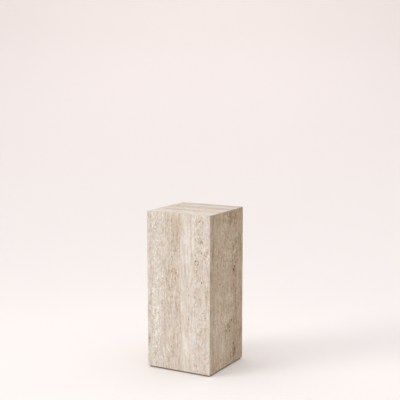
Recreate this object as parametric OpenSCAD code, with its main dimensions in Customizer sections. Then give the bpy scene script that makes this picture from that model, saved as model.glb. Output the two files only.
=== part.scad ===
// Square display plinth: travertine slabs round an empty inside, on a dark set-back foot.
// The four walls and the top meet along 45 degree mitres, so only the slabs' faces show.
// The base plate closes the underside, carries the walls by their inner lower edges, and
// leaves a thin shadow line between the stone and the ground.
// Origin: centre of the underside. +Z up, front face towards -Y. Millimetres.

/* [Plinth] */
// Side of the square plan
plan_w = 340; // [240:5:500]
// Overall height, base plate included
total_h = 765; // [400:5:1100]

/* [Stone slabs] */
// Thickness of each slab
slab_t = 20; // [12:1:30]
// How far each outer arris is cut back to ease it
arris = 1.2; // [0.4:0.1:3]

/* [Base plate] */
// Height of the base plate, which is the height of the shadow line
foot_h = 7.5; // [3:0.5:12]
// How far the base plate is set back from the faces of the stone
setback = 8; // [2:0.5:11]

/* [Hidden] */
half_w = plan_w / 2;
inner_half_w = half_w - slab_t;
stone_h = total_h - foot_h;
foot_w = plan_w - 2 * setback;

STONE_COLOR = "#DACBB9";
SHADED_STONE_COLOR = "#CFC0AC";
FOOT_COLOR = "#3B2D24";

// Turns an outline drawn in X and Z into a bar that runs along Y through the whole plinth.
module along_y() {
    translate([0, half_w, 0]) rotate([90, 0, 0]) linear_extrude(plan_w) children();
}

// A rectangle w wide and from y0 to y1, with its corners cut back by arris.
module eased_rectangle(w, y0, y1) {
    x = w / 2;
    polygon([
        [-x + arris, y0], [x - arris, y0], [x, y0 + arris], [x, y1 - arris],
        [x - arris, y1], [-x + arris, y1], [-x, y1 - arris], [-x, y0 + arris]
    ]);
}

// The outer form of the stone, with every arris eased.
module stone_form() {
    intersection() {
        translate([0, 0, foot_h]) linear_extrude(stone_h) eased_rectangle(plan_w, -half_w, half_w);
        along_y() eased_rectangle(plan_w, foot_h, total_h);
        rotate([0, 0, 90]) along_y() eased_rectangle(plan_w, foot_h, total_h);
    }
}

// One wall, drawn as the front one and turned into place about the plinth's axis. Its two
// sides and its top edge are mitred.
module wall_slab(turn) {
    intersection() {
        stone_form();
        rotate([0, 0, turn]) intersection() {
            translate([0, 0, foot_h]) linear_extrude(stone_h) polygon([
                [-half_w, -half_w], [half_w, -half_w],
                [inner_half_w, -inner_half_w], [-inner_half_w, -inner_half_w]
            ]);
            rotate([0, 0, 90]) along_y() polygon([
                [-half_w, foot_h], [-inner_half_w, foot_h],
                [-inner_half_w, total_h - slab_t], [-half_w, total_h]
            ]);
        }
    }
}

// The outline of the top slab: wide above, and mitred in to the walls' inner faces below.
module top_outline() {
    polygon([
        [-inner_half_w, total_h - slab_t], [inner_half_w, total_h - slab_t],
        [half_w, total_h], [-half_w, total_h]
    ]);
}

module top_slab() {
    color(STONE_COLOR) intersection() {
        stone_form();
        along_y() top_outline();
        rotate([0, 0, 90]) along_y() top_outline();
    }
}

module front_slab() {
    color(STONE_COLOR) wall_slab(0);
}

module right_slab() {
    color(SHADED_STONE_COLOR) wall_slab(90);
}

module back_slab() {
    color(STONE_COLOR) wall_slab(180);
}

module left_slab() {
    color(SHADED_STONE_COLOR) wall_slab(270);
}

module base_plate() {
    color(FOOT_COLOR) translate([-foot_w / 2, -foot_w / 2, 0]) cube([foot_w, foot_w, foot_h]);
}

top_slab();
front_slab();
right_slab();
back_slab();
left_slab();
base_plate();
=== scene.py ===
import math

import bmesh
import bpy
from bpy.props import FloatProperty, FloatVectorProperty, PointerProperty
from mathutils import Euler, Matrix, Vector


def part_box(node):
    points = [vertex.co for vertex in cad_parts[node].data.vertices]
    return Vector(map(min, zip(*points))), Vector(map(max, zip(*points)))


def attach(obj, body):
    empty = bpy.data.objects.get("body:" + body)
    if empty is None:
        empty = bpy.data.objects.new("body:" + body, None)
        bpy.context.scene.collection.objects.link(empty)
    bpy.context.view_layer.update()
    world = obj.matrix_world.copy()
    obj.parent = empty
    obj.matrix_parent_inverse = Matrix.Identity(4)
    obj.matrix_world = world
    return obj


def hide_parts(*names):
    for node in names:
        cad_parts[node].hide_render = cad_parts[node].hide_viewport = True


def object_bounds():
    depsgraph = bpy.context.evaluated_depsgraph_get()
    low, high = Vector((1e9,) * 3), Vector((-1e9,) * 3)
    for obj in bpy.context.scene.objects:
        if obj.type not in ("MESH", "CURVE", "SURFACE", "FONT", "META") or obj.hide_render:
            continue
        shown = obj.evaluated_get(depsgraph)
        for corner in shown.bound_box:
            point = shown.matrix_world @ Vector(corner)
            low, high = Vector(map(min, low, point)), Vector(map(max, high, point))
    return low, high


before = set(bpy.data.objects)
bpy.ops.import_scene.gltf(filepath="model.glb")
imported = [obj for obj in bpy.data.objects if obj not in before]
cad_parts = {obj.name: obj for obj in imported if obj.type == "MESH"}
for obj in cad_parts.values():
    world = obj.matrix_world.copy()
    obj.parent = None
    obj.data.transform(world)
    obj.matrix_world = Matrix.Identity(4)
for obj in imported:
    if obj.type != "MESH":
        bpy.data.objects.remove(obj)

bl_info = {
    "name": "Travertine Plinth",
    "version": (1, 0, 0),
    "blender": (4, 5, 0),
    "location": "3D View > Sidebar > Plinth",
    "description": "Cuts, pits and finishes the slabs of a mitred travertine plinth",
    "category": "Add Mesh",
}

CAD_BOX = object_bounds()
MM = 0.001
LOW, HIGH = (Vector(corner) for corner in CAD_BOX)
FOOT_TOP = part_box("base_plate")[1][2]
TOP_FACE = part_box("top_slab")
PLAN_W = HIGH.x - LOW.x
HALF_W = PLAN_W / 2
TOTAL_H = HIGH.z
STONE_H = TOTAL_H - FOOT_TOP
SLAB_T = TOP_FACE[1][2] - TOP_FACE[0][2]

# Pits are longer along the veins than across them, by one over this.
PIT_SQUASH = 0.62
# The tone of the stone's main colour, which a stronger figure swings about.
MAIN_TONE = 0.52
# Nearer than this to an edge or a plane, in metres, a point counts as on it.
ON_EDGE = 0.01 * MM
ON_PLANE = 0.02 * MM
# How far in from its edge a slab's face gives way to a worn arris.
ARRIS_REACH = 14 * MM
# What the floor's paint is multiplied by far from its painted pool of light, and the wall's likewise: painted
# dimming of the light.
FLOOR_PAINTED_DIMMING = (0.962, 0.957, 0.962)
WALL_PAINTED_DIMMING = 0.89

# Each slab: how far it is turned about the plinth's axis, where it was cut from the block, the
# tint that its block has over the others, which on the right slab is partly painted shading and
# on the top slab painted light, and how strongly it is figured. Then the beds across it, from its
# left edge to its right, as (place, tone, swirl, flecks), soft patches as (share across, share
# down, reach across, reach down, change of tone), and open pits as (share across, share down, radius in mm).
SLABS = {
    "front_slab": {
        "turn": 0.0,
        "cut": (0.0, 0.0, 0.0),
        "tint_and_painted_light": (0.985, 0.99, 1.003),
        "figure": 1.15,
        "beds": (
            (0.00, 0.54, 0.3, 0.4), (0.05, 0.48, 0.5, 0.5), (0.09, 0.56, 0.7, 0.9),
            (0.20, 0.57, 0.7, 0.9), (0.25, 0.51, 0.3, 0.3), (0.34, 0.46, 0.3, 0.2),
            (0.53, 0.46, 0.4, 0.3), (0.56, 0.59, 0.0, 0.2), (0.72, 0.58, 0.1, 0.2),
            (0.78, 0.53, 0.7, 0.7), (0.92, 0.52, 0.7, 0.5), (1.00, 0.55, 0.3, 0.2),
        ),
        "patches": (
            (0.45, 0.10, 0.15, 0.14, -0.13), (0.11, 0.09, 0.12, 0.08, -0.10),
            (0.36, 0.40, 0.10, 0.15, -0.06), (0.39, 0.58, 0.12, 0.10, -0.06),
            (0.43, 0.84, 0.08, 0.10, -0.09), (0.82, 0.51, 0.10, 0.12, -0.06),
            (0.98, 0.50, 0.05, 0.08, -0.16), (0.66, 0.14, 0.12, 0.12, 0.10),
            (0.61, 0.30, 0.07, 0.05, 0.10), (0.14, 0.63, 0.08, 0.10, 0.12),
            (0.16, 0.78, 0.08, 0.07, 0.12), (0.72, 0.82, 0.10, 0.16, 0.09),
            (0.58, 0.84, 0.05, 0.12, 0.10), (0.02, 0.82, 0.04, 0.03, -0.20),
        ),
        "pits": (
            (0.78, 0.29, 3.0), (0.44, 0.35, 2.2), (0.47, 0.375, 2.5), (0.87, 0.42, 2.5),
            (0.895, 0.17, 1.7), (0.26, 0.06, 1.6), (0.84, 0.04, 1.9), (0.40, 0.31, 1.5),
            (0.665, 0.66, 1.7), (0.89, 0.61, 2.2), (0.93, 0.64, 1.8), (0.87, 0.72, 1.6),
            (0.28, 0.75, 1.7), (0.42, 0.97, 1.8), (0.03, 0.82, 2.4), (0.26, 0.42, 1.6),
        ),
    },
    "right_slab": {
        "turn": 90.0,
        "cut": (1.7, 0.4, 0.9),
        # Partly the block's own browner tint and partly painted shading: darker and warmer for the face
        # turned from the light.
        "tint_and_painted_light": (0.935, 0.857, 0.728),
        "figure": 1.38,
        "beds": (
            (0.00, 0.53, 0.4, 0.2), (0.06, 0.50, 0.3, 0.0), (0.10, 0.42, 0.4, 0.0),
            (0.14, 0.51, 0.5, 0.2), (0.30, 0.55, 0.6, 0.4), (0.48, 0.54, 0.8, 0.4),
            (0.62, 0.53, 0.8, 0.3), (0.71, 0.42, 0.7, 0.2), (0.78, 0.40, 0.6, 0.0),
            (0.84, 0.50, 0.5, 0.1), (0.93, 0.44, 0.6, 0.1), (1.00, 0.46, 0.4, 0.0),
        ),
        "patches": (
            (0.50, 0.03, 0.60, 0.06, -0.14), (0.57, 0.06, 0.07, 0.04, -0.12),
            (0.10, 0.23, 0.05, 0.09, -0.14), (0.03, 0.38, 0.04, 0.05, -0.20),
            (0.86, 0.20, 0.10, 0.20, -0.09), (0.70, 0.38, 0.06, 0.04, -0.12),
            (0.73, 0.91, 0.06, 0.06, -0.20), (0.92, 0.84, 0.10, 0.10, -0.10),
            (0.56, 0.73, 0.08, 0.04, -0.14), (0.42, 0.70, 0.18, 0.08, 0.12),
            (0.14, 0.72, 0.14, 0.12, 0.13), (0.36, 0.88, 0.20, 0.10, 0.12),
            (0.55, 0.27, 0.10, 0.08, 0.07), (0.58, 0.56, 0.10, 0.06, 0.08),
        ),
        "pits": (
            (0.71, 0.24, 4.0), (0.78, 0.22, 2.4), (0.765, 0.345, 4.0), (0.735, 0.37, 4.0),
            (0.715, 0.39, 5.4), (0.765, 0.43, 3.2), (0.72, 0.487, 3.2), (0.28, 0.45, 2.8),
            (0.765, 0.535, 3.6), (0.765, 0.56, 4.0), (0.655, 0.715, 4.0), (0.60, 0.755, 3.8),
            (0.60, 0.78, 4.4), (0.71, 0.875, 4.2), (0.755, 0.92, 3.8), (0.71, 0.94, 4.4),
            (0.13, 0.965, 2.6), (0.855, 0.635, 2.2), (0.755, 0.50, 2.4), (0.54, 0.11, 2.4),
        ),
    },
    "back_slab": {
        "turn": 180.0,
        "cut": (3.1, 1.3, 2.2),
        "tint_and_painted_light": (1.0, 0.985, 0.96),
        "figure": 1.15,
        "beds": (
            (0.00, 0.50, 0.5, 0.3), (0.12, 0.57, 0.7, 0.7), (0.26, 0.47, 0.6, 0.3),
            (0.42, 0.53, 0.9, 0.6), (0.60, 0.45, 0.4, 0.2), (0.66, 0.58, 0.2, 0.2),
            (0.86, 0.51, 0.7, 0.5), (1.00, 0.49, 0.5, 0.2),
        ),
        "patches": (
            (0.30, 0.16, 0.16, 0.12, -0.11), (0.72, 0.30, 0.12, 0.14, 0.10),
            (0.55, 0.52, 0.12, 0.12, -0.08), (0.16, 0.60, 0.10, 0.12, 0.11),
            (0.84, 0.72, 0.12, 0.10, -0.10), (0.40, 0.84, 0.16, 0.10, 0.09),
        ),
        "pits": (
            (0.31, 0.18, 2.6), (0.33, 0.21, 2.0), (0.57, 0.47, 3.2), (0.60, 0.50, 2.0),
            (0.22, 0.66, 2.4), (0.82, 0.31, 2.2), (0.74, 0.83, 2.8), (0.12, 0.36, 1.8),
        ),
    },
    "left_slab": {
        "turn": 270.0,
        "cut": (4.6, 2.2, 3.7),
        "tint_and_painted_light": (0.99, 0.97, 0.93),
        "figure": 1.2,
        "beds": (
            (0.00, 0.53, 0.4, 0.3), (0.16, 0.45, 0.5, 0.2), (0.30, 0.55, 0.9, 0.8),
            (0.46, 0.58, 0.3, 0.3), (0.62, 0.48, 0.8, 0.4), (0.78, 0.43, 0.6, 0.2),
            (0.88, 0.56, 0.7, 0.7), (1.00, 0.51, 0.4, 0.2),
        ),
        "patches": (
            (0.66, 0.14, 0.10, 0.14, -0.12), (0.28, 0.26, 0.12, 0.12, 0.10),
            (0.80, 0.52, 0.10, 0.14, -0.10), (0.44, 0.66, 0.14, 0.12, 0.10),
            (0.14, 0.80, 0.10, 0.10, -0.10), (0.70, 0.88, 0.16, 0.08, 0.08),
        ),
        "pits": (
            (0.64, 0.14, 2.8), (0.66, 0.17, 2.0), (0.35, 0.40, 2.4), (0.76, 0.55, 3.4),
            (0.18, 0.72, 2.2), (0.52, 0.62, 1.8), (0.86, 0.88, 2.6), (0.27, 0.90, 2.0),
        ),
    },
    "top_slab": {
        "turn": None,
        "cut": (6.3, 3.0, 5.1),
        # Painted light: the top is made lighter than the walls' stone.
        "tint_and_painted_light": (1.05, 1.05, 1.05),
        "figure": 1.1,
        "beds": (
            (0.00, 0.60, 0.4, 0.3), (0.14, 0.66, 0.4, 0.3), (0.27, 0.60, 0.3, 0.1),
            (0.33, 0.34, 0.3, 0.1), (0.38, 0.60, 0.5, 0.3), (0.55, 0.58, 0.5, 0.3),
            (0.60, 0.38, 0.5, 0.1), (0.68, 0.42, 0.5, 0.1), (0.74, 0.62, 0.5, 0.2),
            (0.86, 0.60, 0.5, 0.1), (0.93, 0.34, 0.3, 0.1), (1.00, 0.32, 0.3, 0.0),
        ),
        "patches": (
            (0.33, 0.22, 0.06, 0.22, -0.12), (0.64, 0.80, 0.07, 0.22, -0.14),
            (0.48, 0.40, 0.08, 0.20, 0.08), (0.20, 0.60, 0.08, 0.25, 0.06),
            (0.66, 0.22, 0.06, 0.18, 0.10), (0.94, 0.15, 0.06, 0.14, 0.10),
        ),
        "pits": (
            (0.36, 0.34, 2.2), (0.40, 0.35, 1.8), (0.72, 0.62, 2.4), (0.20, 0.78, 2.0),
            (0.58, 0.18, 1.8),
        ),
    },
}


class NodeMaker:
    """Adds nodes to one tree and links them, so that a tree reads as a list of steps."""

    def __init__(self, tree):
        self.tree = tree

    def feed(self, socket, value):
        if isinstance(value, bpy.types.NodeSocket):
            self.tree.links.new(value, socket)
        else:
            socket.default_value = value

    def add(self, kind, inputs=None, **settings):
        node = self.tree.nodes.new(kind)
        node.location = (180 * (len(self.tree.nodes) % 12), -220 * (len(self.tree.nodes) // 12))
        for name, value in settings.items():
            setattr(node, name, value)
        for name, value in (inputs or {}).items():
            self.feed(node.inputs[name], value)
        return node

    def math(self, operation, *values, clamp=False):
        node = self.add("ShaderNodeMath", dict(enumerate(values)), operation=operation)
        node.use_clamp = clamp
        return node.outputs[0]

    def vector(self, operation, *values):
        node = self.add("ShaderNodeVectorMath", operation=operation)
        for index, value in enumerate(values):
            self.feed(node.inputs["Scale" if operation == "SCALE" and index else index], value)
        by_length = operation in {"LENGTH", "DISTANCE", "DOT_PRODUCT"}
        return node.outputs["Value" if by_length else "Vector"]

    def combine(self, x, y, z):
        return self.add("ShaderNodeCombineXYZ", {0: x, 1: y, 2: z}).outputs[0]

    def split(self, vector):
        return self.add("ShaderNodeSeparateXYZ", {0: vector}).outputs

    def step(self, value, low, high, to_low=0.0, to_high=1.0):
        """A smooth step from to_low to to_high while value goes from low to high."""
        node = self.add("ShaderNodeMapRange", interpolation_type="SMOOTHSTEP")
        for socket, number in zip(node.inputs, (value, low, high, to_low, to_high)):
            self.feed(socket, number)
        return node.outputs[0]

    def noise(self, vector, scale=1.0, detail=2.0, roughness=0.5, output="Fac"):
        inputs = {"Vector": vector, "Scale": scale, "Detail": detail, "Roughness": roughness}
        node = self.add("ShaderNodeTexNoise", inputs)
        return node.outputs["Fac" if output == "Fac" else "Color"]

    def mix(self, factor, a, b, blend="MIX"):
        node = self.add("ShaderNodeMix", data_type="RGBA", blend_type=blend)
        for socket, value in zip((node.inputs[0], node.inputs[6], node.inputs[7]), (factor, a, b)):
            self.feed(socket, value)
        return node.outputs[2]


def new_tree(name, kind, inputs, outputs):
    """An empty node group with named sockets: returns its maker, input sockets and output node."""
    tree = bpy.data.node_groups.new(name, kind)
    for direction, sockets in (("INPUT", inputs), ("OUTPUT", outputs)):
        for socket, (socket_type, default) in sockets.items():
            made = tree.interface.new_socket(socket, in_out=direction, socket_type=socket_type)
            if direction == "INPUT" and default is not None:
                made.default_value = default
    maker = NodeMaker(tree)
    return maker, maker.add("NodeGroupInput").outputs, maker.add("NodeGroupOutput")


def centred(maker, value, amount):
    """A noise value as a change of up to half the amount either way."""
    return maker.math("MULTIPLY", maker.math("SUBTRACT", value, 0.5), amount)


def scattered(maker, color, reach):
    """A coloured noise as a shift of up to half the reach either way along each axis."""
    return maker.vector("SCALE", maker.vector("SUBTRACT", color, (0.5, 0.5, 0.5)), reach)


def darker(color, share):
    """The colour with each of its parts cut to a share."""
    return tuple(share * part for part in color)


# ---------------------------------------------------------------------------------------
# The slab as a rule

def arris_fields(maker, start, sockets):
    """The worn arrises round a slab's face: the face point moved in along each edge, how deep
    it lies, and the local rounding that the edge's sides start from."""
    x, y, _ = maker.split(start)
    width, length = sockets["Width"], sockets["Length"]
    half = maker.math("DIVIDE", width, 2.0)
    edges = (
        (maker.math("ADD", x, half), y), (maker.math("SUBTRACT", half, x), y),
        (y, x), (maker.math("SUBTRACT", length, y), x),
    )
    shifts, depths, radii, nearest = [], [], [], None
    for number, (distance, along) in enumerate(edges):
        place = maker.combine(along, 0.37 * number, sockets["Seed"])
        wobble = maker.noise(place, 60.0, 3.0, 0.6)
        broken = maker.noise(place, 21.0, 4.0, 0.62)
        rough = maker.noise(maker.vector("ADD", start, place), 230.0, 2.0, 0.6)
        chips = maker.math("MULTIPLY", maker.step(broken, 0.57, 0.72), sockets["Chip Depth"])
        chips = maker.math("MULTIPLY", chips, maker.step(rough, 0.2, 0.8, 0.35, 1.0))
        worn = maker.math("MULTIPLY", sockets["Arris Radius"], maker.step(wobble, 0.2, 0.8, 0.7, 1.4))
        radius = maker.math("ADD", worn, chips)
        start_in = maker.math("MULTIPLY", radius, 1 - math.sqrt(0.5))
        fade = maker.math("SUBTRACT", 1.0, maker.math("DIVIDE", distance, ARRIS_REACH))
        shift = maker.math("MULTIPLY", start_in, maker.math("MAXIMUM", fade, 0.0))
        inward = maker.math("ADD", distance, shift)
        reach = maker.math("DIVIDE", maker.math("SUBTRACT", radius, inward), radius, clamp=True)
        height = maker.math("SQRT", maker.math("SUBTRACT", 1.0, maker.math("POWER", reach, 2.0)))
        depths.append(maker.math("MULTIPLY", radius, maker.math("SUBTRACT", 1.0, height)))
        shifts.append(shift)
        radii.append((distance, radius))
        nearest = distance if nearest is None else maker.math("MINIMUM", nearest, distance)
    depth = depths[0]
    for other in depths[1:]:
        depth = maker.math("MAXIMUM", depth, other)
    x_in = maker.math("SUBTRACT", maker.math("ADD", x, shifts[0]), shifts[1])
    y_in = maker.math("SUBTRACT", maker.math("ADD", y, shifts[2]), shifts[3])
    radius = None
    for distance, local in radii:
        here = maker.math("MULTIPLY", local, maker.math("LESS_THAN", distance, ON_EDGE))
        radius = here if radius is None else maker.math("MAXIMUM", radius, here)
    return x_in, y_in, depth, radius, nearest


def inset(maker, x, y, depth, sockets):
    """The point (x, y) kept off the slab's mitre planes at a depth below its face."""
    half = maker.math("SUBTRACT", maker.math("DIVIDE", sockets["Width"], 2.0), depth)
    x = maker.math("MAXIMUM", maker.math("MINIMUM", x, half), maker.math("MULTIPLY", half, -1.0))
    y = maker.math("MINIMUM", y, maker.math("SUBTRACT", sockets["Length"], depth))
    y = maker.math("MAXIMUM", y, maker.math("MULTIPLY", sockets["Lower Mitre"], depth))
    return maker.combine(x, y, maker.math("MULTIPLY", depth, -1.0))


def pit_field(maker, flat, start, sockets):
    """How far into a pit each point lies: 1 on its floor and 0 outside every pit. Small pits
    are strewn over the face in clusters, and the marked ones lie where they are marked."""
    clusters = maker.noise(maker.vector("ADD", maker.vector("MULTIPLY", maker.add(
        "GeometryNodeInputPosition").outputs[0], (34.0, 9.0, 1.0)), sockets["Cut"]), 1.0, 3.0, 0.6)
    strewn = maker.add("GeometryNodeDistributePointsOnFaces", {
        "Mesh": flat, "Distance Min": 4 * MM, "Density Max": sockets["Strewn Pits"],
        "Density Factor": maker.step(clusters, 0.5, 0.72), "Seed": 7,
    }, distribute_method="POISSON").outputs["Points"]
    size = maker.add("FunctionNodeRandomValue", {2: 0.0, 3: 1.0, "Seed": 11}, data_type="FLOAT")
    radius = maker.math("ADD", 0.9 * MM, maker.math("MULTIPLY", maker.math(
        "POWER", size.outputs[1], 3.0), 1.3 * MM))
    strewn = maker.add("GeometryNodeStoreNamedAttribute", {
        "Geometry": strewn, "Name": "pit_radius", "Value": radius,
    }, data_type="FLOAT", domain="POINT").outputs[0]
    marked = maker.add("GeometryNodeObjectInfo", {"Object": sockets["Pit Marks"]}).outputs["Geometry"]
    marked = maker.add("GeometryNodeMeshToPoints", {"Mesh": marked}).outputs[0]
    pits = maker.add("GeometryNodeJoinGeometry")
    for points in (strewn, marked):
        maker.tree.links.new(points, pits.inputs[0])
    pits = maker.add("GeometryNodeTransform", {
        "Geometry": pits.outputs[0], "Scale": (1.0, PIT_SQUASH, 1.0)}).outputs[0]

    ragged = maker.noise(maker.vector("ADD", start, sockets["Cut"]), 330.0, 3.0, 0.6, output="Color")
    ragged = scattered(maker, ragged, 5.0 * MM)
    here = maker.vector("MULTIPLY", maker.vector("ADD", start, ragged), (1.0, PIT_SQUASH, 0.0))
    nearest = maker.add("GeometryNodeSampleNearest", {
        "Geometry": pits, "Sample Position": here}, domain="POINT").outputs[0]
    centre = maker.add("GeometryNodeSampleIndex", {
        "Geometry": pits, "Value": maker.add("GeometryNodeInputPosition").outputs[0],
        "Index": nearest}, data_type="FLOAT_VECTOR", domain="POINT").outputs[0]
    named = maker.add("GeometryNodeInputNamedAttribute", {"Name": "pit_radius"}, data_type="FLOAT")
    radius = maker.add("GeometryNodeSampleIndex", {
        "Geometry": pits, "Value": named.outputs[0], "Index": nearest},
        data_type="FLOAT", domain="POINT").outputs[0]
    share = maker.math("DIVIDE", maker.vector("DISTANCE", here, centre), radius)
    return maker.step(share, 1.0, 0.62), radius


def slab_tree():
    """A slab lying face up: its face is dense, its four edges are mitred, or three of them,
    and its sides and inner face are plain. Last it is turned and moved into place."""
    floats = {
        "Width": 0.34, "Length": 0.76, "Thickness": 0.02, "Spacing": 0.0008, "Arris Radius": 0.0013,
        "Chip Depth": 0.003, "Lower Mitre": 0.0, "Strewn Pits": 1500.0, "Seed": 0.0,
    }
    vectors = {"Cut": (0.0, 0.0, 0.0), "Place": (0.0, 0.0, 0.0), "Turn": (0.0, 0.0, 0.0)}
    inputs = {name: ("NodeSocketFloat", value) for name, value in floats.items()}
    inputs.update({name: ("NodeSocketVector", value) for name, value in vectors.items()})
    inputs["Pit Marks"] = ("NodeSocketObject", None)
    inputs["Stone"] = ("NodeSocketMaterial", None)
    maker, sockets, out = new_tree(
        "Mitred Slab", "GeometryNodeTree", inputs, {"Geometry": ("NodeSocketGeometry", None)})

    columns = maker.math("DIVIDE", sockets["Width"], sockets["Spacing"])
    rows = maker.math("DIVIDE", sockets["Length"], sockets["Spacing"])
    size = {"Size X": sockets["Width"], "Size Y": sockets["Length"]}
    dense = maker.add("GeometryNodeMeshGrid", {**size, "Vertices X": columns, "Vertices Y": rows})
    plain = maker.add("GeometryNodeMeshGrid", {**size, "Vertices X": 2, "Vertices Y": 2})
    lift = maker.combine(0.0, maker.math("DIVIDE", sockets["Length"], 2.0), 0.0)
    face, flat = (
        maker.add("GeometryNodeTransform", {"Geometry": grid.outputs["Mesh"], "Translation": lift}).outputs[0]
        for grid in (dense, plain))
    kept = maker.add("GeometryNodeCaptureAttribute", {"Geometry": face})
    kept.capture_items.new("VECTOR", "Start")
    maker.feed(kept.inputs["Start"], maker.add("GeometryNodeInputPosition").outputs[0])
    face, start = kept.outputs["Geometry"], kept.outputs["Start"]

    x, y, depth, radius, nearest = arris_fields(maker, start, sockets)
    into_pit, pit_radius = pit_field(maker, flat, start, sockets)
    into_pit = maker.math("MULTIPLY", into_pit, maker.step(nearest, 1.5 * MM, 3.5 * MM))
    floor = maker.noise(start, 520.0, 2.0, 0.6)
    pit_depth = maker.math("MULTIPLY", maker.math("MULTIPLY", pit_radius, into_pit),
                           maker.step(floor, 0.2, 0.8, 0.8, 1.5))
    on_face = inset(maker, x, y, depth, sockets)
    on_face = maker.vector("SUBTRACT", on_face, maker.combine(0.0, 0.0, pit_depth))
    mesh = maker.add("GeometryNodeSetPosition", {"Geometry": face, "Position": on_face}).outputs[0]
    wear = maker.step(maker.math("DIVIDE", depth, sockets["Arris Radius"]), 0.02, 0.9)
    for name, value in (("pit", into_pit), ("wear", wear)):
        mesh = maker.add("GeometryNodeStoreNamedAttribute", {
            "Geometry": mesh, "Name": name, "Value": value}, data_type="FLOAT", domain="POINT").outputs[0]

    start_x, start_y, _ = maker.split(start)
    centre = maker.combine(0.0, maker.math("DIVIDE", sockets["Length"], 2.0),
                           maker.math("MULTIPLY", sockets["Thickness"], -1.0))
    rim = maker.add("FunctionNodeCompare", {
        "A": maker.add("GeometryNodeInputMeshEdgeNeighbors").outputs[0], "B": 1},
        data_type="INT", operation="EQUAL").outputs[0]
    for ring in (inset(maker, start_x, start_y, radius, sockets),
                 inset(maker, start_x, start_y, sockets["Thickness"], sockets), centre):
        drawn = maker.add("GeometryNodeExtrudeMesh", {
            "Mesh": mesh, "Selection": rim, "Offset Scale": 0.0}, mode="EDGES")
        rim = drawn.outputs["Top"]
        mesh = maker.add("GeometryNodeSetPosition", {
            "Geometry": drawn.outputs["Mesh"], "Selection": rim, "Position": ring}).outputs[0]
    mesh = maker.add("GeometryNodeMergeByDistance", {"Geometry": mesh, "Distance": 1e-6}).outputs[0]
    mesh = maker.add("GeometryNodeTransform", {
        "Geometry": mesh, "Translation": sockets["Place"], "Rotation": sockets["Turn"]}).outputs[0]
    mesh = maker.add("GeometryNodeRealizeInstances", {"Geometry": mesh}).outputs[0]
    mesh = maker.add("GeometryNodeSetMaterial", {
        "Geometry": mesh, "Material": sockets["Stone"]}).outputs[0]
    maker.feed(out.inputs[0], mesh)
    return maker.tree


# ---------------------------------------------------------------------------------------
# Effects that the materials share

def stretched(maker, position, cut, scale):
    """The position in the block that the slab was cut from, at so many features per metre."""
    return maker.vector("ADD", maker.vector("MULTIPLY", position, scale), maker.vector("SCALE", cut, 13.0))


def wander_group():
    """Vein Wander: how far across the slab a point lies once its beds have wandered a little."""
    maker, sockets, out = new_tree("Vein Wander", "ShaderNodeTree", {
        "Position": ("NodeSocketVector", None), "Cut": ("NodeSocketVector", None),
        "Width": ("NodeSocketFloat", 0.34), "Wander": ("NodeSocketFloat", 0.012),
    }, {"Share Across": ("NodeSocketFloat", None)})
    slow = maker.noise(stretched(maker, sockets["Position"], sockets["Cut"], (7.0, 3.2, 7.0)), 1.0, 2.0)
    fast = maker.noise(stretched(maker, sockets["Position"], sockets["Cut"], (40.0, 16.0, 40.0)), 1.0, 3.0)
    bend = maker.math("ADD", centred(maker, slow, 2.0), centred(maker, fast, 0.9))
    bend = maker.math("MULTIPLY", bend, sockets["Wander"])
    across = maker.math("ADD", maker.split(sockets["Position"])[0], bend)
    share = maker.math("ADD", maker.math("DIVIDE", across, sockets["Width"]), 0.5, clamp=True)
    maker.feed(out.inputs[0], share)
    return maker.tree


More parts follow.
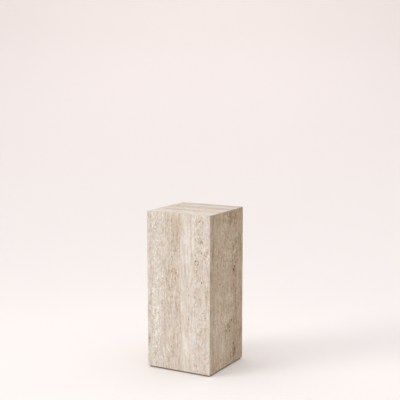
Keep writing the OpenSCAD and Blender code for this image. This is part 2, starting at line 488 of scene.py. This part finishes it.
def vein_group():
    """Travertine Veins: the tone of the stone, from broad beds down to hair-fine laminae, with
    cloudy swirls where the beds are knotted, and a drift of its tint from pink to green and
    from warm to cool."""
    maker, sockets, out = new_tree("Travertine Veins", "ShaderNodeTree", {
        "Position": ("NodeSocketVector", None), "Cut": ("NodeSocketVector", None),
        "Tone": ("NodeSocketFloat", 0.5), "Swirl": ("NodeSocketFloat", 0.5),
    }, {"Tone": ("NodeSocketFloat", None), "Pinkness": ("NodeSocketFloat", None),
        "Warmth": ("NodeSocketFloat", None), "Bent Position": ("NodeSocketVector", None)})
    position, cut, swirl = sockets["Position"], sockets["Cut"], sockets["Swirl"]
    knots = maker.noise(stretched(maker, position, cut, (34.0, 19.0, 34.0)), 1.0, 3.0, 0.6, "Color")
    pull = maker.math("ADD", 0.004, maker.math("MULTIPLY", swirl, 0.034))
    bent = maker.vector("ADD", position, scattered(maker, knots, pull))
    layers = (
        ((38.0, 2.6, 38.0), 3.0, 0.28), ((105.0, 5.0, 105.0), 3.0, 0.64),
        ((230.0, 13.0, 230.0), 3.0, 0.84), ((520.0, 46.0, 520.0), 2.0, 0.42),
    )
    tone, even = sockets["Tone"], maker.step(swirl, 0.0, 1.0, 1.1, 0.65)
    for scale, detail, amount in layers:
        layer = maker.noise(stretched(maker, bent, cut, scale), 1.0, detail, 0.6)
        layer = maker.math("MULTIPLY", centred(maker, layer, amount), even)
        tone = maker.math("ADD", tone, layer)
    lively = maker.noise(stretched(maker, position, cut, (19.0, 8.0, 19.0)), 1.0, 2.0)
    lively = maker.math("MULTIPLY", swirl, maker.step(lively, 0.38, 0.64, 0.25, 1.0))
    knotted = (
        ((42.0, 18.0, 42.0), 3.0, 0.34, 0.50), ((108.0, 66.0, 108.0), 4.0, 0.56, 1.95),
    )
    for scale, detail, least, more in knotted:
        cloud = maker.noise(stretched(maker, bent, cut, scale), 1.0, detail, 0.7)
        amount = maker.math("ADD", least, maker.math("MULTIPLY", lively, more))
        tone = maker.math("ADD", tone, centred(maker, cloud, amount))
    seam = maker.noise(stretched(maker, bent, cut, (52.0, 2.2, 52.0)), 1.0, 2.0)
    seam = maker.step(maker.math("ABSOLUTE", maker.math("SUBTRACT", seam, 0.5)), 0.022, 0.0)
    tone = maker.math("SUBTRACT", tone, maker.math("MULTIPLY", seam, 0.16))
    grain = maker.noise(position, 850.0, 2.0, 0.6)
    maker.feed(out.inputs["Tone"], maker.math("ADD", tone, centred(maker, grain, 0.16)))
    drift = maker.noise(stretched(maker, bent, cut, (64.0, 24.0, 64.0)), 1.0, 3.0, 0.62, "Color")
    for name, channel in zip(("Pinkness", "Warmth"), maker.split(drift)):
        maker.feed(out.inputs[name], channel)
    maker.feed(out.inputs["Bent Position"], bent)
    return maker.tree


def patch_group():
    """Soft Patch: a cloud in the stone that changes the tone around one place."""
    maker, sockets, out = new_tree("Soft Patch", "ShaderNodeTree", {
        "Position": ("NodeSocketVector", None), "Middle": ("NodeSocketVector", None),
        "Reach": ("NodeSocketVector", (1.0, 1.0, 1.0)), "Change": ("NodeSocketFloat", 0.1),
        "Tone": ("NodeSocketFloat", 0.5),
    }, {"Tone": ("NodeSocketFloat", None)})
    away = maker.vector("DIVIDE", maker.vector("SUBTRACT", sockets["Position"], sockets["Middle"]),
                        sockets["Reach"])
    near = maker.step(maker.vector("LENGTH", away), 1.25, 0.15)
    change = maker.math("MULTIPLY", near, sockets["Change"])
    maker.feed(out.inputs[0], maker.math("ADD", sockets["Tone"], change))
    return maker.tree


def pore_group():
    """Travertine Pores: pores closed with pale filler, their dark rims, pin holes and iron."""
    maker, sockets, out = new_tree("Travertine Pores", "ShaderNodeTree", {
        "Position": ("NodeSocketVector", None), "Cut": ("NodeSocketVector", None),
        "Amount": ("NodeSocketFloat", 0.3),
    }, {"Filler": ("NodeSocketFloat", None), "Rim": ("NodeSocketFloat", None),
        "Pin Holes": ("NodeSocketFloat", None), "Iron": ("NodeSocketFloat", None)})
    position, cut = sockets["Position"], sockets["Cut"]
    cluster = maker.noise(stretched(maker, position, cut, (30.0, 12.0, 30.0)), 1.0, 3.0, 0.6)
    pores = maker.noise(stretched(maker, position, cut, (158.0, 96.0, 158.0)), 1.0, 3.0, 0.62)
    room = maker.math("MULTIPLY", sockets["Amount"], maker.step(cluster, 0.34, 0.58, 0.4, 1.0))
    least = maker.math("SUBTRACT", 0.78, maker.math("MULTIPLY", room, 0.24))
    filler = maker.step(pores, least, maker.math("ADD", least, 0.03))
    rim = maker.step(pores, maker.math("SUBTRACT", least, 0.06), maker.math("SUBTRACT", least, 0.015))
    holes = maker.add("ShaderNodeTexVoronoi", {
        "Vector": stretched(maker, position, cut, (330.0, 210.0, 330.0)), "Scale": 1.0})
    chance = maker.split(holes.outputs["Color"])[0]
    chance = maker.math("ADD", chance, maker.step(cluster, 0.4, 0.7, 0.0, 0.3))
    chance = maker.math("GREATER_THAN", chance, 0.93)
    pins = maker.math("MULTIPLY", chance, maker.step(holes.outputs["Distance"], 0.34, 0.12))
    iron = maker.noise(stretched(maker, position, cut, (80.0, 24.0, 80.0)), 1.0, 4.0, 0.68)
    made = {"Filler": filler, "Rim": maker.math("SUBTRACT", rim, filler, clamp=True),
            "Pin Holes": pins, "Iron": maker.step(iron, 0.55, 0.72)}
    for name, value in made.items():
        maker.feed(out.inputs[name], value)
    return maker.tree


def resin_group():
    """Resin Line: the hair line of resin where two slabs' mitres meet at an arris."""
    maker, sockets, out = new_tree("Resin Line", "ShaderNodeTree", {
        "Position": ("NodeSocketVector", None), "Half Width": ("NodeSocketFloat", 0.17),
        "Height": ("NodeSocketFloat", 0.765), "Line": ("NodeSocketFloat", 0.0004),
    }, {"Line": ("NodeSocketFloat", None)})
    x, y, z = maker.split(maker.vector("ABSOLUTE", sockets["Position"]))
    outer = maker.math("MAXIMUM", x, y)
    near_arris = maker.math("GREATER_THAN", outer, maker.math("SUBTRACT", sockets["Half Width"], 5 * MM))
    upright = maker.math("ABSOLUTE", maker.math("SUBTRACT", x, y))
    sharp = maker.math("MULTIPLY", sockets["Line"], 0.4)
    upright = maker.step(upright, sockets["Line"], sharp)
    top = maker.math("SUBTRACT", sockets["Height"], z)
    top = maker.math("SUBTRACT", top, maker.math("SUBTRACT", sockets["Half Width"], outer))
    top = maker.step(maker.math("ABSOLUTE", top), sockets["Line"], sharp)
    maker.feed(out.inputs[0], maker.math("MAXIMUM", maker.math("MULTIPLY", upright, near_arris), top))
    return maker.tree


def dust_group():
    """Fine Dust: a faint uneven film, thicker low down."""
    maker, sockets, out = new_tree("Fine Dust", "ShaderNodeTree", {
        "Position": ("NodeSocketVector", None), "Height": ("NodeSocketFloat", 0.05),
    }, {"Dust": ("NodeSocketFloat", None)})
    patchy = maker.noise(sockets["Position"], 60.0, 4.0, 0.65)
    low = maker.step(maker.split(sockets["Position"])[2], sockets["Height"], 0.0, 0.25, 1.0)
    maker.feed(out.inputs[0], maker.math("MULTIPLY", maker.step(patchy, 0.35, 0.75), low))
    return maker.tree


SHARED = {}


def shared(name, build):
    """The node group of that name, built once."""
    if name not in SHARED:
        SHARED[name] = build()
    return SHARED[name]


def place_group(maker, group, inputs):
    """A shared group placed in a material with its own values: returns its outputs."""
    node = maker.add("ShaderNodeGroup", node_tree=group)
    for name, value in inputs.items():
        maker.feed(node.inputs[name], value)
    return node.outputs


def ramp(maker, factor, stops):
    """A colour ramp through (place, colour) stops."""
    node = maker.add("ShaderNodeValToRGB", {"Fac": factor})
    elements = node.color_ramp.elements
    while len(elements) < len(stops):
        elements.new(0.5)
    for element, (place, color) in zip(elements, stops):
        element.position = place
        element.color = (*color, 1.0)
    return node.outputs["Color"]


def new_material(name):
    """An empty material: returns it, its maker, its shader and the object's coordinates."""
    material = bpy.data.materials.new(name)
    material.use_nodes = True
    material.node_tree.nodes.clear()
    maker = NodeMaker(material.node_tree)
    shader = maker.add("ShaderNodeBsdfPrincipled")
    out = maker.add("ShaderNodeOutputMaterial", {"Surface": shader.outputs[0]})
    out.location = (2400, 0)
    coords = maker.add("ShaderNodeTexCoord").outputs["Object"]
    return material, maker, shader, coords


# ---------------------------------------------------------------------------------------
# Materials

def travertine(name, slab, length, place, turn, stone):
    """Honed, filled travertine with its veins along the slab."""
    material, maker, shader, coords = new_material(name)
    mapping = maker.add("ShaderNodeMapping", {
        "Vector": coords, "Location": place, "Rotation": turn}, vector_type="TEXTURE")
    position, cut = mapping.outputs[0], maker.combine(*slab["cut"])
    share = place_group(maker, shared("wander", wander_group), {
        "Position": position, "Cut": cut, "Width": PLAN_W, "Wander": stone.wander})[0]
    beds = maker.split(ramp(maker, share, [(bed[0], bed[1:]) for bed in slab["beds"]]))
    veins = place_group(maker, shared("veins", vein_group), {
        "Position": position, "Cut": cut, "Tone": beds[0], "Swirl": beds[1]})
    tone = veins["Tone"]
    ragged = maker.noise(stretched(maker, position, cut, (22.0, 12.0, 22.0)), 1.0, 3.0, 0.6, "Color")
    ragged = maker.vector("ADD", position, scattered(maker, ragged, 0.09))
    ragged = maker.vector("MULTIPLY", ragged, (1.0, 1.0, 0.0))
    for across, down, reach_across, reach_down, change in slab["patches"]:
        tone = place_group(maker, shared("patch", patch_group), {
            "Position": ragged, "Tone": tone, "Change": change,
            "Middle": ((across - 0.5) * PLAN_W, (1.0 - down) * length, 0.0),
            "Reach": (reach_across * PLAN_W, reach_down * length, 1.0)})[0]
    swing = maker.math("MULTIPLY", maker.math("SUBTRACT", tone, MAIN_TONE), slab["figure"])
    tone = maker.math("ADD", MAIN_TONE, swing)
    pores = place_group(maker, shared("pores", pore_group), {
        "Position": veins["Bent Position"], "Cut": cut, "Amount": beds[2]})
    resin = place_group(maker, shared("resin", resin_group), {
        "Position": coords, "Half Width": HALF_W, "Height": TOTAL_H, "Line": stone.resin_line})[0]
    pit, wear = (maker.add("ShaderNodeAttribute", attribute_name=attribute).outputs["Fac"]
                 for attribute in ("pit", "wear"))

    color = ramp(maker, tone, (
        (0.0, stone.dark), (0.28, stone.tan), (MAIN_TONE, stone.beige), (0.80, stone.cream),
        (1.0, stone.pale)))
    lively = slab["figure"] ** 2
    drifts = (
        (veins["Pinkness"], (0.925, 1.0, 0.965), (1.0, 0.915, 0.94)),
        (veins["Warmth"], (0.955, 0.972, 1.0), (1.0, 0.962, 0.83)),
    )
    for value, first, last in drifts:
        drift = ramp(maker, value, ((0.3, first), (0.7, last)))
        color = maker.mix(min(0.55 * lively, 1.0), color, drift, "MULTIPLY")
    rust = maker.math("MULTIPLY", maker.step(tone, 0.62, 0.30, 0.15 * lively, 0.5 * lively), pores["Iron"])
    color = maker.mix(rust, color, (*stone.iron, 1.0))
    # Painted shading: open pits and pin holes take the dark hole colour in place of the shade inside them; on
    # the resin line the same colour is a dark joint.
    marks_on_stone = (
        (pores["Rim"], 0.42, stone.dark), (pores["Filler"], 0.78, stone.filler),
        (pores["Pin Holes"], 0.75, stone.hole_shading_and_joint), (wear, 0.45, stone.pale),
        (maker.step(pit, 0.05, 0.5), 0.93, stone.hole_shading_and_joint), (resin, 0.5, stone.hole_shading_and_joint),
    )
    for mask, strength, paint in marks_on_stone:
        color = maker.mix(maker.math("MULTIPLY", mask, strength), color, (*paint, 1.0))
    # Each slab's tint: on the right slab partly painted shading, on the top slab painted light.
    color = maker.mix(1.0, color, (*slab["tint_and_painted_light"], 1.0), "MULTIPLY")
    maker.feed(shader.inputs["Base Color"], color)

    rough = maker.math("ADD", 0.56, maker.math("MULTIPLY", maker.math("MAXIMUM", pit, wear), 0.3))
    rough = maker.math("SUBTRACT", rough, maker.math("MULTIPLY", pores["Filler"], 0.12))
    maker.feed(shader.inputs["Roughness"], rough)
    grain = maker.noise(position, 1400.0, 3.0, 0.7)
    height = maker.math("ADD", centred(maker, grain, 0.00012), centred(maker, tone, 0.0002))
    height = maker.math("SUBTRACT", height, maker.math("MULTIPLY", pores["Pin Holes"], 0.0007))
    height = maker.math("SUBTRACT", height, maker.math("MULTIPLY", pores["Filler"], 0.00015))
    bump = maker.add("ShaderNodeBump", {"Height": height, "Distance": 1.0, "Strength": 0.8})
    maker.feed(shader.inputs["Normal"], bump.outputs[0])
    return material


def base_board(foot):
    """Dark stained board, matt, with a fine grain along X and a little dust."""
    material, maker, shader, coords = new_material("Base Board")
    fibres = maker.noise(maker.vector("MULTIPLY", coords, (22.0, 900.0, 900.0)), 1.0, 4.0, 0.6)
    color = ramp(maker, fibres, ((0.3, darker(foot.color, 0.7)), (0.7, tuple(foot.color))))
    dust = place_group(maker, shared("dust", dust_group), {"Position": coords, "Height": 2 * FOOT_TOP})[0]
    color = maker.mix(maker.math("MULTIPLY", dust, 0.12), color, (0.30, 0.26, 0.22, 1.0))
    maker.feed(shader.inputs["Base Color"], color)
    maker.feed(shader.inputs["Roughness"], maker.step(fibres, 0.3, 0.7, 0.85, 0.65))
    bump = maker.add("ShaderNodeBump", {"Height": maker.math("MULTIPLY", fibres, 0.0002), "Distance": 1.0})
    maker.feed(shader.inputs["Normal"], bump.outputs[0])
    return material


# ---------------------------------------------------------------------------------------
# Pieces

def link_mesh(name, mesh):
    """A new object for the mesh, put in the scene."""
    piece = bpy.data.objects.new(name, mesh)
    bpy.context.collection.objects.link(piece)
    return piece


def applied(piece):
    """The piece with its modifiers' result as its own plain mesh."""
    bpy.context.view_layer.update()
    depsgraph = bpy.context.evaluated_depsgraph_get()
    old = piece.data
    piece.data = bpy.data.meshes.new_from_object(piece.evaluated_get(depsgraph))
    piece.modifiers.clear()
    bpy.data.meshes.remove(old)
    piece.data.name = piece.name
    return piece


def pit_marks(name, slab, width, length):
    """The marked pits as points in the slab's own frame, each with its radius."""
    mesh = bpy.data.meshes.new(name + "_pits")
    spots = [((across - 0.5) * width, (1.0 - down) * length, 0.0) for across, down, _ in slab["pits"]]
    mesh.from_pydata(spots, [], [])
    radius = mesh.attributes.new("pit_radius", "FLOAT", "POINT")
    for item, (_, _, millimetres) in zip(radius.data, slab["pits"]):
        item.value = millimetres * MM
    marks = link_mesh(mesh.name, mesh)
    marks.hide_render = True
    return marks


def slab_place(slab):
    """Where the slab's own frame lies: the middle of its face's lower edge, and its turn."""
    if slab["turn"] is None:
        return Vector((HALF_W, 0.0, TOTAL_H)), Euler((0.0, 0.0, math.radians(90.0)))
    turn = math.radians(slab["turn"])
    place = Matrix.Rotation(turn, 3, "Z") @ Vector((0.0, -HALF_W, FOOT_TOP))
    return place, Euler((math.radians(90.0), 0.0, turn))


def set_inputs(modifier, values):
    """Sets a Geometry Nodes modifier's inputs, found by their names."""
    for item in modifier.node_group.interface.items_tree:
        if item.item_type == "SOCKET" and item.in_out == "INPUT" and item.name in values:
            modifier[item.identifier] = values[item.name]


def bake_map(mesh, to_own, length):
    """A map with the face on the left and the mitres, inner face and foot side by side with
    it, each laid out flat, so that nothing overlaps and nothing has no width."""
    scale = 1.0 / (length + 2 * SLAB_T)
    gap = 0.01
    layer = mesh.uv_layers.new(name="OFBake")
    own = [to_own @ vertex.co for vertex in mesh.vertices]
    uvs = []
    for polygon in mesh.polygons:
        corners = [own[index] for index in polygon.vertices]
        hidden = is_hidden(corners, length)
        for corner in corners:
            u, v = corner.x + HALF_W, corner.y + SLAB_T
            if hidden:
                u += PLAN_W + gap
                v += (-corner.z - SLAB_T) if corner.y < ON_EDGE else 0.0
            uvs.extend(((u + gap / 2) * scale, (v + gap / 2) * scale))
    layer.data.foreach_set("uv", uvs)


def is_hidden(corners, length):
    """Whether a face of a slab in its own frame lies on a mitre, the inner face or the foot."""
    def all_near(distance):
        return all(abs(distance(corner)) < ON_PLANE for corner in corners)
    return (
        all_near(lambda c: HALF_W + c.x + c.z) or all_near(lambda c: HALF_W - c.x + c.z)
        or all_near(lambda c: length - c.y + c.z) or all_near(lambda c: c.y + c.z)
        or all_near(lambda c: c.y) or all_near(lambda c: c.z + SLAB_T)
    )


def build_slab(name, stone):
    """One slab: cut and pitted by its tree, then triangulated, thinned to its limit, given its
    map and named for the frame."""
    slab = SLABS[name]
    is_top = slab["turn"] is None
    length = PLAN_W if is_top else STONE_H
    place, turn = slab_place(slab)
    material = travertine("Travertine " + name.split("_")[0].title(), slab, length, place, turn, stone)
    marks = pit_marks(name, slab, PLAN_W, length)
    piece = link_mesh(name + "_stone", bpy.data.meshes.new(name + "_stone"))
    cutter = piece.modifiers.new("Slab", "NODES")
    cutter.node_group = bpy.data.node_groups.get("Mitred Slab") or slab_tree()
    spacing = stone.spacing * 1.0
    set_inputs(cutter, {
        "Width": PLAN_W, "Length": length, "Thickness": SLAB_T, "Spacing": spacing,
        "Arris Radius": stone.arris, "Chip Depth": stone.chips, "Strewn Pits": stone.strewn_pits,
        "Lower Mitre": 1.0 if is_top else 0.0, "Seed": slab["cut"][0], "Cut": slab["cut"],
        "Place": place, "Turn": tuple(turn), "Pit Marks": marks, "Stone": material,
    })
    applied(piece)
    bpy.data.objects.remove(marks)
    mesh = bmesh.new()
    mesh.from_mesh(piece.data)
    bmesh.ops.triangulate(mesh, faces=mesh.faces)
    bmesh.ops.recalc_face_normals(mesh, faces=mesh.faces)
    mesh.to_mesh(piece.data)
    mesh.free()
    triangles = len(piece.data.polygons)
    if triangles > stone.triangles:
        thinner = piece.modifiers.new("Thinner", "DECIMATE")
        thinner.ratio = stone.triangles / triangles
        applied(piece)
    to_own = (Matrix.Translation(place) @ turn.to_matrix().to_4x4()).inverted()
    bake_map(piece.data, to_own, length)
    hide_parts(name)
    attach(piece, "root")
    return piece


def build_base(foot):
    """The base plate as a sawn board with eased edges, in the space of its CAD node."""
    low, high = (Vector(corner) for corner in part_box("base_plate"))
    mesh = bmesh.new()
    bmesh.ops.create_cube(mesh, size=1.0)
    for vertex in mesh.verts:
        vertex.co = (low + high) / 2 + Vector(side * size for side, size in zip(vertex.co, high - low))
    data = bpy.data.meshes.new("base_plate_board")
    mesh.to_mesh(data)
    mesh.free()
    piece = link_mesh("base_plate_board", data)
    edges = piece.modifiers.new("Eased edges", "BEVEL")
    edges.width = foot.eased
    edges.segments = 3
    applied(piece)
    piece.data.materials.append(base_board(foot))
    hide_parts("base_plate")
    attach(piece, "root")
    return piece


# ---------------------------------------------------------------------------------------
# Stage

def studio_paint(stage):
    """Pale matt paint: a floor with a painted pool of light round the plinth and to its left, dimmer
    further out, and above it a wall that glows a little, with a painted pool of light behind the plinth in
    both its paint and its glow."""
    material, maker, shader, coords = new_material("Studio Paint")
    up = maker.step(maker.split(coords)[2], 0.0, 1.2 * stage.bend)
    turn = math.radians(stage.bearing)
    middle = Vector((-math.sin(turn), math.cos(turn), 0.0)) * stage.wall_distance
    away = maker.vector("DISTANCE", coords, middle + Vector((0.0, 0.0, stage.pool_height)))
    # Painted light on the wall: its paint is palest in a pool behind the plinth and dimmer towards the edges,
    # and its glow follows the same pool.
    pool = maker.step(away, 0.2 * stage.pool_reach, stage.pool_reach)
    mottle = maker.noise(coords, 0.6, 2.0, 0.5)
    floor = ramp(maker, mottle, ((0.2, tuple(stage.paint)), (0.8, darker(stage.paint, 0.99))))
    # Painted light on the floor: palest round a point left of the plinth, dimmer further away.
    left = Vector((-math.cos(turn), -math.sin(turn), 0.0)) * stage.floor_painted_light_left
    far = maker.vector("DISTANCE", coords, left)
    far = maker.step(far, 0.3 * stage.floor_painted_light_reach, stage.floor_painted_light_reach)
    floor = maker.mix(far, floor, maker.mix(1.0, floor, (*FLOOR_PAINTED_DIMMING, 1.0), "MULTIPLY"))
    wall = maker.mix(pool, (*stage.wall_paint, 1.0), (*darker(stage.wall_paint, WALL_PAINTED_DIMMING), 1.0))
    maker.feed(shader.inputs["Base Color"], maker.mix(up, floor, wall))
    maker.feed(shader.inputs["Emission Color"], maker.mix(up, (0.0, 0.0, 0.0, 1.0), wall))
    shader.inputs["Emission Strength"].default_value = stage.wall_glow
    shader.inputs["Roughness"].default_value = 0.9
    shader.inputs["Specular IOR Level"].default_value = 0.2
    return material


def sweep(stage, material):
    """A floor that runs far out and curves up behind the plinth, square to the view."""
    bend, back = stage.bend, stage.wall_distance
    front, near, reach, rise, steps = -40.0, -6.0, 14.0, 7.0, 24
    profile = [(front, 0.0), (near, 0.0), (back - bend, 0.0)]
    for step in range(1, steps + 1):
        angle = math.radians(90.0) * step / steps
        profile.append((back - bend + bend * math.sin(angle), bend * (1.0 - math.cos(angle))))
    profile.append((back, rise))
    bearing = Matrix.Rotation(math.radians(stage.bearing), 3, "Z")
    points = [bearing @ Vector((side * reach, along, up)) for along, up in profile for side in (-1, 1)]
    faces = [(2 * i, 2 * i + 1, 2 * i + 3, 2 * i + 2) for i in range(len(profile) - 1)]
    mesh = bpy.data.meshes.new("studio_sweep")
    mesh.from_pydata(points, [], faces)
    for polygon in mesh.polygons:
        polygon.use_smooth = True
    mesh.materials.append(material)
    link_mesh("studio_sweep", mesh)


def key_light(stage):
    """A broad, low light from the viewer's left."""
    lamp = bpy.data.lights.new("Key", "SUN")
    lamp.energy = stage.key
    lamp.angle = math.radians(stage.key_softness)
    lamp.color = stage.key_color
    holder = bpy.data.objects.new("Key", lamp)
    bpy.context.collection.objects.link(holder)
    turn, lift = math.radians(stage.bearing + stage.key_bearing), math.radians(stage.key_height)
    direction = Vector((math.sin(turn) * math.cos(lift), -math.cos(turn) * math.cos(lift), math.sin(lift)))
    holder.location = 4.0 * direction
    holder.rotation_euler = direction.to_track_quat("Z", "Y").to_euler()


def room_light(stage):
    """Even light from all round with more from above, and a paler backdrop that only the
    camera sees."""
    world = bpy.data.worlds.new("Studio")
    bpy.context.scene.world = world
    world.use_nodes = True
    world.node_tree.nodes.clear()
    maker = NodeMaker(world.node_tree)
    sky = maker.add("ShaderNodeTexCoord").outputs["Generated"]
    above = maker.step(maker.split(sky)[2], 0.45, 0.9)
    color = maker.mix(above, (*stage.fill_color, 1.0), (1.0, 1.0, 1.0, 1.0))
    strength = maker.math("ADD", stage.fill, maker.math("MULTIPLY", above, stage.overhead))
    fill = maker.add("ShaderNodeBackground", {"Color": color, "Strength": strength})
    seen = maker.add("ShaderNodeBackground", {"Color": (*stage.backdrop, 1.0), "Strength": 1.0})
    path = maker.add("ShaderNodeLightPath")
    both = maker.add("ShaderNodeMixShader", {
        0: path.outputs["Is Camera Ray"], 1: fill.outputs[0], 2: seen.outputs[0]})
    maker.add("ShaderNodeOutputWorld", {"Surface": both.outputs[0]})


def place_camera(stage):
    """The camera, to the right of the plinth's front and looking a little down."""
    data = bpy.data.cameras.new("Camera")
    data.lens = stage.lens
    data.clip_end = 200.0
    camera = bpy.data.objects.new("Camera", data)
    camera.location = Vector(stage.camera_place) * PLAN_W
    camera.rotation_euler = (math.radians(90.0 - stage.pitch), 0.0, math.radians(stage.bearing))
    bpy.context.collection.objects.link(camera)
    bpy.context.scene.camera = camera


# ---------------------------------------------------------------------------------------
# Settings, operators and panel

def setting(default, name, description, unit="NONE"):
    """A plain number that a user can change."""
    return FloatProperty(name=name, description=description, default=default, unit=unit)


def tint(default, name, description):
    """A colour that a user can change."""
    return FloatVectorProperty(name=name, description=description, subtype="COLOR",
                               default=default, min=0.0, max=1.0)


class StoneSettings(bpy.types.PropertyGroup):
    """Sizes and colours of the travertine slabs."""
    arris: setting(1.3 * MM, "Arris Radius", "Rounding of the worn arrises", "LENGTH")
    chips: setting(3.4 * MM, "Chip Depth", "Depth of the deepest chips on an arris", "LENGTH")
    strewn_pits: setting(1600.0, "Strewn Pits", "Most small open pits per square metre")
    spacing: setting(0.8 * MM, "Spacing", "Spacing of the points on a slab's face", "LENGTH")
    triangles: setting(180000.0, "Triangles", "Most triangles in one slab")
    wander: setting(12 * MM, "Wander", "How far the beds wander across a slab", "LENGTH")
    resin_line: setting(0.4 * MM, "Resin Line", "Width of the resin line in a mitre", "LENGTH")
    dark: tint((0.35, 0.25, 0.165), "Dark", "Darkest laminae")
    tan: tint((0.50, 0.414, 0.33), "Tan", "Tan beds")
    beige: tint((0.597, 0.54, 0.49), "Beige", "Main colour of the stone")
    cream: tint((0.70, 0.66, 0.624), "Cream", "Light beds")
    pale: tint((0.80, 0.775, 0.745), "Pale", "Palest laminae, and fresh worn stone")
    iron: tint((0.42, 0.28, 0.17), "Iron", "Rusty stain")
    filler: tint((0.86, 0.84, 0.81), "Filler", "Pale filler in closed pores")
    # Painted shading inside open pits and pin holes, and the dark resin line where the mitres meet.
    hole_shading_and_joint: tint((0.15, 0.10, 0.065), "Hollow", "Inside of open pits and pin holes")


class FootSettings(bpy.types.PropertyGroup):
    """Size and colour of the base plate's finish."""
    eased: setting(0.5 * MM, "Eased Edge", "Bevel of the board's edges", "LENGTH")
    color: tint((0.22, 0.13, 0.075), "Stain", "Dark stain of the board")


class StageSettings(bpy.types.PropertyGroup):
    """Camera, lights and backdrop."""
    camera_place: FloatVectorProperty(
        name="Camera Place", description="Camera's place, in widths of the plinth",
        default=(6.288, -11.205, 4.114))
    bearing: setting(29.03, "Bearing", "Camera's bearing, anticlockwise from the front")
    pitch: setting(7.71, "Pitch", "How far the camera looks down")
    lens: setting(82.42, "Lens", "Focal length", "CAMERA")
    wall_distance: setting(3.2, "Wall Distance", "From the plinth to the wall behind", "LENGTH")
    bend: setting(1.8, "Bend", "Radius of the sweep from floor to wall", "LENGTH")
    paint: tint((0.87, 0.845, 0.84), "Floor Paint", "Floor")
    wall_paint: tint((0.918, 0.857, 0.85), "Wall Paint", "Wall behind the plinth")
    wall_glow: setting(0.085, "Wall Glow", "How much the wall lights itself")
    # The wall's pool of painted light, in both its paint and its glow.
    pool_height: setting(1.0, "Pool Height", "Height of the brightest part of the wall", "LENGTH")
    pool_reach: setting(2.5, "Pool Reach", "How far the wall's pool of light reaches", "LENGTH")
    # The floor's palest part is a painted pool of light.
    floor_painted_light_left: setting(
        0.6, "Floor Pool Left", "How far left of the plinth the floor is palest", "LENGTH")
    floor_painted_light_reach: setting(
        2.6, "Floor Pool Reach", "How far the floor's palest part reaches", "LENGTH")
    backdrop: tint((0.95, 0.89, 0.87), "Backdrop", "What the camera sees past the floor")
    fill_color: tint((1.0, 0.90, 0.82), "Fill Colour", "Light from all round")
    fill: setting(0.26, "Fill", "Strength of the light from all round")
    overhead: setting(1.36, "Overhead", "Extra strength from above")
    key: setting(2.05, "Key", "Strength of the main light")
    key_color: tint((1.0, 0.99, 0.97), "Key Colour", "Main light")
    key_softness: setting(32.0, "Key Softness", "How wide the main light looks, in degrees")
    key_bearing: setting(-70.0, "Key Bearing", "Main light's bearing from the view, in degrees")
    key_height: setting(13.0, "Key Height", "Main light's height above the floor, in degrees")


class PLINTH_OT_walls(bpy.types.Operator):
    """Cut, pit and finish the four wall slabs"""
    bl_idname = "plinth.walls"
    bl_label = "Wall Slabs"

    def execute(self, context):
        for name, slab in SLABS.items():
            if slab["turn"] is not None:
                build_slab(name, context.scene.plinth_stone)
        return {"FINISHED"}


class PLINTH_OT_top(bpy.types.Operator):
    """Cut, pit and finish the top slab"""
    bl_idname = "plinth.top"
    bl_label = "Top Slab"

    def execute(self, context):
        build_slab("top_slab", context.scene.plinth_stone)
        return {"FINISHED"}


class PLINTH_OT_base(bpy.types.Operator):
    """Make the dark base plate"""
    bl_idname = "plinth.base"
    bl_label = "Base Plate"

    def execute(self, context):
        build_base(context.scene.plinth_foot)
        return {"FINISHED"}


class PLINTH_OT_stage(bpy.types.Operator):
    """Set up the backdrop, the lights and the camera"""
    bl_idname = "plinth.stage"
    bl_label = "Stage"

    def execute(self, context):
        stage = context.scene.plinth_stage
        place_camera(stage)
        sweep(stage, studio_paint(stage))
        room_light(stage)
        key_light(stage)
        context.scene.view_settings.view_transform = "Standard"
        return {"FINISHED"}


class PLINTH_PT_panel(bpy.types.Panel):
    """Lists the steps that make the plinth"""
    bl_idname = "PLINTH_PT_panel"
    bl_label = "Travertine Plinth"
    bl_space_type = "VIEW_3D"
    bl_region_type = "UI"
    bl_category = "Plinth"

    def draw(self, context):
        for operator in OPERATORS:
            self.layout.operator(operator.bl_idname)
        for name in SETTINGS:
            group = getattr(context.scene, name)
            box = self.layout.box()
            for key in group.__annotations__:
                box.prop(group, key)


OPERATORS = (PLINTH_OT_walls, PLINTH_OT_top, PLINTH_OT_base, PLINTH_OT_stage)
SETTINGS = {
    "plinth_stone": StoneSettings, "plinth_foot": FootSettings, "plinth_stage": StageSettings,
}
CLASSES = (*SETTINGS.values(), *OPERATORS, PLINTH_PT_panel)


def register():
    for made in CLASSES:
        bpy.utils.register_class(made)
    for name, group in SETTINGS.items():
        setattr(bpy.types.Scene, name, PointerProperty(type=group))


def unregister():
    for name in SETTINGS:
        delattr(bpy.types.Scene, name)
    for made in reversed(CLASSES):
        bpy.utils.unregister_class(made)


def main():
    register()
    bpy.ops.plinth.stage()
    bpy.ops.plinth.walls()
    bpy.ops.plinth.top()
    bpy.ops.plinth.base()


if __name__ == "__main__":
    main()
